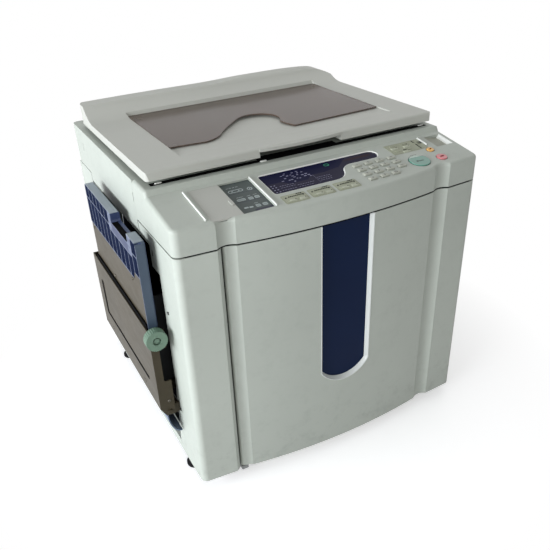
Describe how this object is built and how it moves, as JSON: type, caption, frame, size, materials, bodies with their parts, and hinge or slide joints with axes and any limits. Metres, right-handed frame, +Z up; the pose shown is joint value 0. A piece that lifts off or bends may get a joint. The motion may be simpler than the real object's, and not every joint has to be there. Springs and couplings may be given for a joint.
{
  "type": "digital duplicator",
  "caption": "Drum duplicator in a bowed grey cabinet with a flatbed scanner under a low lid, a sloping key panel, a hinged front door and folding paper trays.",
  "frame": {"origin": "on the floor under the centre of the machine's box with both trays folded up", "axes": "+X to the user's right, +Y to the back, +Z up"},
  "size_m": [0.735, 0.6712, 0.6615],
  "materials": {
    "cabinet_plastic": "fine textured pale warm grey moulding",
    "cover_plastic": "fine textured grey moulding",
    "bezel_plastic": "satin pale moulding",
    "badge_blue": "glossy deep blue plate",
    "display_glass": "dark tinted window",
    "film_plastic": "printed membrane film",
    "smoked_plastic": "smoked translucent sheet",
    "clear_glass": "flat clear glass",
    "mat_white": "soft white backing mat",
    "black_plastic": "black moulding",
    "frame_steel": "zinc coated pressed sheet",
    "dark_steel": "black painted sheet",
    "polished_steel": "ground bar",
    "foot_steel": "black turned foot",
    "tray_steel": "taupe painted sheet",
    "tray_blue": "blue ribbed moulding",
    "tray_grey": "blue grey moulding",
    "dial_green": "mint green knurled moulding",
    "key_grey": "grey key caps",
    "start_green": "green key cap",
    "stop_pink": "pink key cap",
    "reset_amber": "amber key cap",
    "drum_screen": "fine steel screen",
    "roller_rubber": "ground rubber",
    "bottle_plastic": "moulded bottle"
  },
  "bodies": {
    "chassis": {"base_pan": "frame_steel", "levelling_feet": "foot_steel", "front_frame": "frame_steel", "rear_frame": "frame_steel", "feed_side_plate": "dark_steel", "left_side_cover": "cabinet_plastic", "right_side_cover": "cabinet_plastic", "rear_cover": "cabinet_plastic", "front_column": "cabinet_plastic", "panel_housing": "cabinet_plastic", "display_window": "display_glass", "panel_films": "film_plastic", "scanner_housing": "cabinet_plastic", "platen_glass": "clear_glass", "scanner_rails": "polished_steel", "power_inlet": "black_plastic", "hinge_pins": "polished_steel", "drum_carrier": "dark_steel", "master_unit": "black_plastic"},
    "platen_cover": {"platen_cover": "cover_plastic", "original_mat": "mat_white", "smoked_window": "smoked_plastic"},
    "front_door": {"front_door": "cabinet_plastic", "badge_bezel": "bezel_plastic", "badge_plate": "badge_blue"},
    "memory_shutter": {"memory_shutter": "cover_plastic"},
    "tray_elevator": {"tray_elevator": "tray_steel"},
    "feed_tray": {"feed_tray_frame": "tray_steel"},
    "tray_deck": {"feed_tray_plate": "tray_steel", "feed_tray_extension": "tray_blue"},
    "position_dial": {"position_dial": "dial_green"},
    "guide_front": {"paper_guide_front": "tray_blue"},
    "guide_rear": {"paper_guide_rear": "tray_blue"},
    "receiving_tray": {"receiving_tray": "tray_blue"},
    "fence_front": {"receiving_fence_front": "tray_grey"},
    "fence_rear": {"receiving_fence_rear": "tray_grey"},
    "paper_stop": {"paper_stop": "tray_grey"},
    "print_drum": {"print_drum": "drum_screen"},
    "pressure_roller": {"pressure_roller": "roller_rubber"},
    "pickup_roller": {"pickup_roller": "roller_rubber"},
    "ink_cartridge": {"ink_cartridge": "bottle_plastic"},
    "scan_carriage": {"scan_carriage": "black_plastic"},
    "key_1": {"key_1": "key_grey"},
    "key_2": {"key_2": "key_grey"},
    "key_3": {"key_3": "key_grey"},
    "key_4": {"key_4": "key_grey"},
    "key_5": {"key_5": "key_grey"},
    "key_6": {"key_6": "key_grey"},
    "key_7": {"key_7": "key_grey"},
    "key_8": {"key_8": "key_grey"},
    "key_9": {"key_9": "key_grey"},
    "key_star": {"key_star": "key_grey"},
    "key_0": {"key_0": "key_grey"},
    "key_clear": {"key_clear": "key_grey"},
    "key_side_upper": {"key_side_upper": "key_grey"},
    "key_side_middle": {"key_side_middle": "key_grey"},
    "key_side_lower": {"key_side_lower": "key_grey"},
    "start_key": {"start_key": "start_green"},
    "reset_key": {"reset_key": "reset_amber"},
    "stop_key": {"stop_key": "stop_pink"}
  },
  "joints": [
    {"name": "cover_hinge", "type": "hinge", "parent": "chassis", "child": "platen_cover", "pos_m": [0, 0.256, 0.6155], "axis": [-1, 0, 0], "range_deg": [0, 70]},
    {"name": "door_hinge", "type": "hinge", "parent": "chassis", "child": "front_door", "pos_m": [-0.2205, -0.3045, 0.275], "axis": [0, 0, -1], "range_deg": [0, 100]},
    {"name": "shutter_slide", "type": "slide", "parent": "chassis", "child": "memory_shutter", "axis": [1, 0, 0], "range_m": [0, 0.057]},
    {"name": "elevator_slide", "type": "slide", "parent": "chassis", "child": "tray_elevator", "axis": [0, 0, 1], "range_m": [-0.095, 0]},
    {"name": "feed_tray_hinge", "type": "hinge", "parent": "tray_elevator", "child": "feed_tray", "pos_m": [-0.338, -0.046, 0.163], "axis": [0, -1, 0], "range_deg": [0, 88]},
    {"name": "deck_shift", "type": "slide", "parent": "feed_tray", "child": "tray_deck", "axis": [0, 1, 0], "range_m": [-0.01, 0.01]},
    {"name": "dial_turn", "type": "hinge", "parent": "feed_tray", "child": "position_dial", "pos_m": [-0.347, -0.245, 0.3439], "axis": [0, 1, 0], "range_deg": [-360, 360]},
    {"name": "guide_front_slide", "type": "slide", "parent": "tray_deck", "child": "guide_front", "axis": [0, 1, 0], "range_m": [0, 0.08]},
    {"name": "guide_rear_slide", "type": "slide", "parent": "tray_deck", "child": "guide_rear", "axis": [0, 1, 0], "range_m": [-0.08, 0]},
    {"name": "receiving_tray_hinge", "type": "hinge", "parent": "chassis", "child": "receiving_tray", "pos_m": [0.328, -0.06, 0.16], "axis": [0, 1, 0], "range_deg": [0, 85]},
    {"name": "fence_front_slide", "type": "slide", "parent": "receiving_tray", "child": "fence_front", "axis": [0, 1, 0], "range_m": [0, 0.07]},
    {"name": "fence_rear_slide", "type": "slide", "parent": "receiving_tray", "child": "fence_rear", "axis": [0, 1, 0], "range_m": [-0.07, 0]},
    {"name": "paper_stop_slide", "type": "slide", "parent": "receiving_tray", "child": "paper_stop", "axis": [0, 0, 1], "range_m": [-0.15, 0]},
    {"name": "drum_spin", "type": "hinge", "parent": "chassis", "child": "print_drum", "pos_m": [-0.02, 0, 0.3], "axis": [0, 1, 0], "continuous": true},
    {"name": "press_spin", "type": "hinge", "parent": "chassis", "child": "pressure_roller", "pos_m": [-0.02, 0, 0.181], "axis": [0, 1, 0], "continuous": true},
    {"name": "pickup_spin", "type": "hinge", "parent": "chassis", "child": "pickup_roller", "pos_m": [-0.238, -0.06, 0.236], "axis": [0, 1, 0], "continuous": true},
    {"name": "ink_turn", "type": "hinge", "parent": "chassis", "child": "ink_cartridge", "pos_m": [-0.02, 0, 0.3], "axis": [0, 1, 0], "range_deg": [0, 90]},
    {"name": "carriage_slide", "type": "slide", "parent": "chassis", "child": "scan_carriage", "axis": [1, 0, 0], "range_m": [0, 0.5]},
    {"name": "key_1_press", "type": "slide", "parent": "chassis", "child": "key_1", "axis": [0, 0.153, -0.9882], "range_m": [0, 0.0015], "stiffness_N_per_m": 400},
    {"name": "key_2_press", "type": "slide", "parent": "chassis", "child": "key_2", "axis": [0, 0.153, -0.9882], "range_m": [0, 0.0015], "stiffness_N_per_m": 400},
    {"name": "key_3_press", "type": "slide", "parent": "chassis", "child": "key_3", "axis": [0, 0.153, -0.9882], "range_m": [0, 0.0015], "stiffness_N_per_m": 400},
    {"name": "key_4_press", "type": "slide", "parent": "chassis", "child": "key_4", "axis": [0, 0.153, -0.9882], "range_m": [0, 0.0015], "stiffness_N_per_m": 400},
    {"name": "key_5_press", "type": "slide", "parent": "chassis", "child": "key_5", "axis": [0, 0.153, -0.9882], "range_m": [0, 0.0015], "stiffness_N_per_m": 400},
    {"name": "key_6_press", "type": "slide", "parent": "chassis", "child": "key_6", "axis": [0, 0.153, -0.9882], "range_m": [0, 0.0015], "stiffness_N_per_m": 400},
    {"name": "key_7_press", "type": "slide", "parent": "chassis", "child": "key_7", "axis": [0, 0.153, -0.9882], "range_m": [0, 0.0015], "stiffness_N_per_m": 400},
    {"name": "key_8_press", "type": "slide", "parent": "chassis", "child": "key_8", "axis": [0, 0.153, -0.9882], "range_m": [0, 0.0015], "stiffness_N_per_m": 400},
    {"name": "key_9_press", "type": "slide", "parent": "chassis", "child": "key_9", "axis": [0, 0.153, -0.9882], "range_m": [0, 0.0015], "stiffness_N_per_m": 400},
    {"name": "key_star_press", "type": "slide", "parent": "chassis", "child": "key_star", "axis": [0, 0.153, -0.9882], "range_m": [0, 0.0015], "stiffness_N_per_m": 400},
    {"name": "key_0_press", "type": "slide", "parent": "chassis", "child": "key_0", "axis": [0, 0.153, -0.9882], "range_m": [0, 0.0015], "stiffness_N_per_m": 400},
    {"name": "key_clear_press", "type": "slide", "parent": "chassis", "child": "key_clear", "axis": [0, 0.153, -0.9882], "range_m": [0, 0.0015], "stiffness_N_per_m": 400},
    {"name": "key_side_upper_press", "type": "slide", "parent": "chassis", "child": "key_side_upper", "axis": [0, 0.153, -0.9882], "range_m": [0, 0.0015], "stiffness_N_per_m": 400},
    {"name": "key_side_middle_press", "type": "slide", "parent": "chassis", "child": "key_side_middle", "axis": [0, 0.153, -0.9882], "range_m": [0, 0.0015], "stiffness_N_per_m": 400},
    {"name": "key_side_lower_press", "type": "slide", "parent": "chassis", "child": "key_side_lower", "axis": [0, 0.153, -0.9882], "range_m": [0, 0.0015], "stiffness_N_per_m": 400},
    {"name": "start_key_press", "type": "slide", "parent": "chassis", "child": "start_key", "axis": [0, 0.153, -0.9882], "range_m": [0, 0.0015], "stiffness_N_per_m": 400},
    {"name": "reset_key_press", "type": "slide", "parent": "chassis", "child": "reset_key", "axis": [0, 0.153, -0.9882], "range_m": [0, 0.0015], "stiffness_N_per_m": 400},
    {"name": "stop_key_press", "type": "slide", "parent": "chassis", "child": "stop_key", "axis": [0, 0.153, -0.9882], "range_m": [0, 0.0015], "stiffness_N_per_m": 400}
  ],
  "couplings": [
    {"joint": "dial_turn", "follows": "deck_shift", "rad_per_m": 628.3},
    {"joint": "guide_rear_slide", "follows": "guide_front_slide", "ratio": -1},
    {"joint": "fence_rear_slide", "follows": "fence_front_slide", "ratio": -1},
    {"joint": "press_spin", "follows": "drum_spin", "ratio": -3.2727}
  ]
}
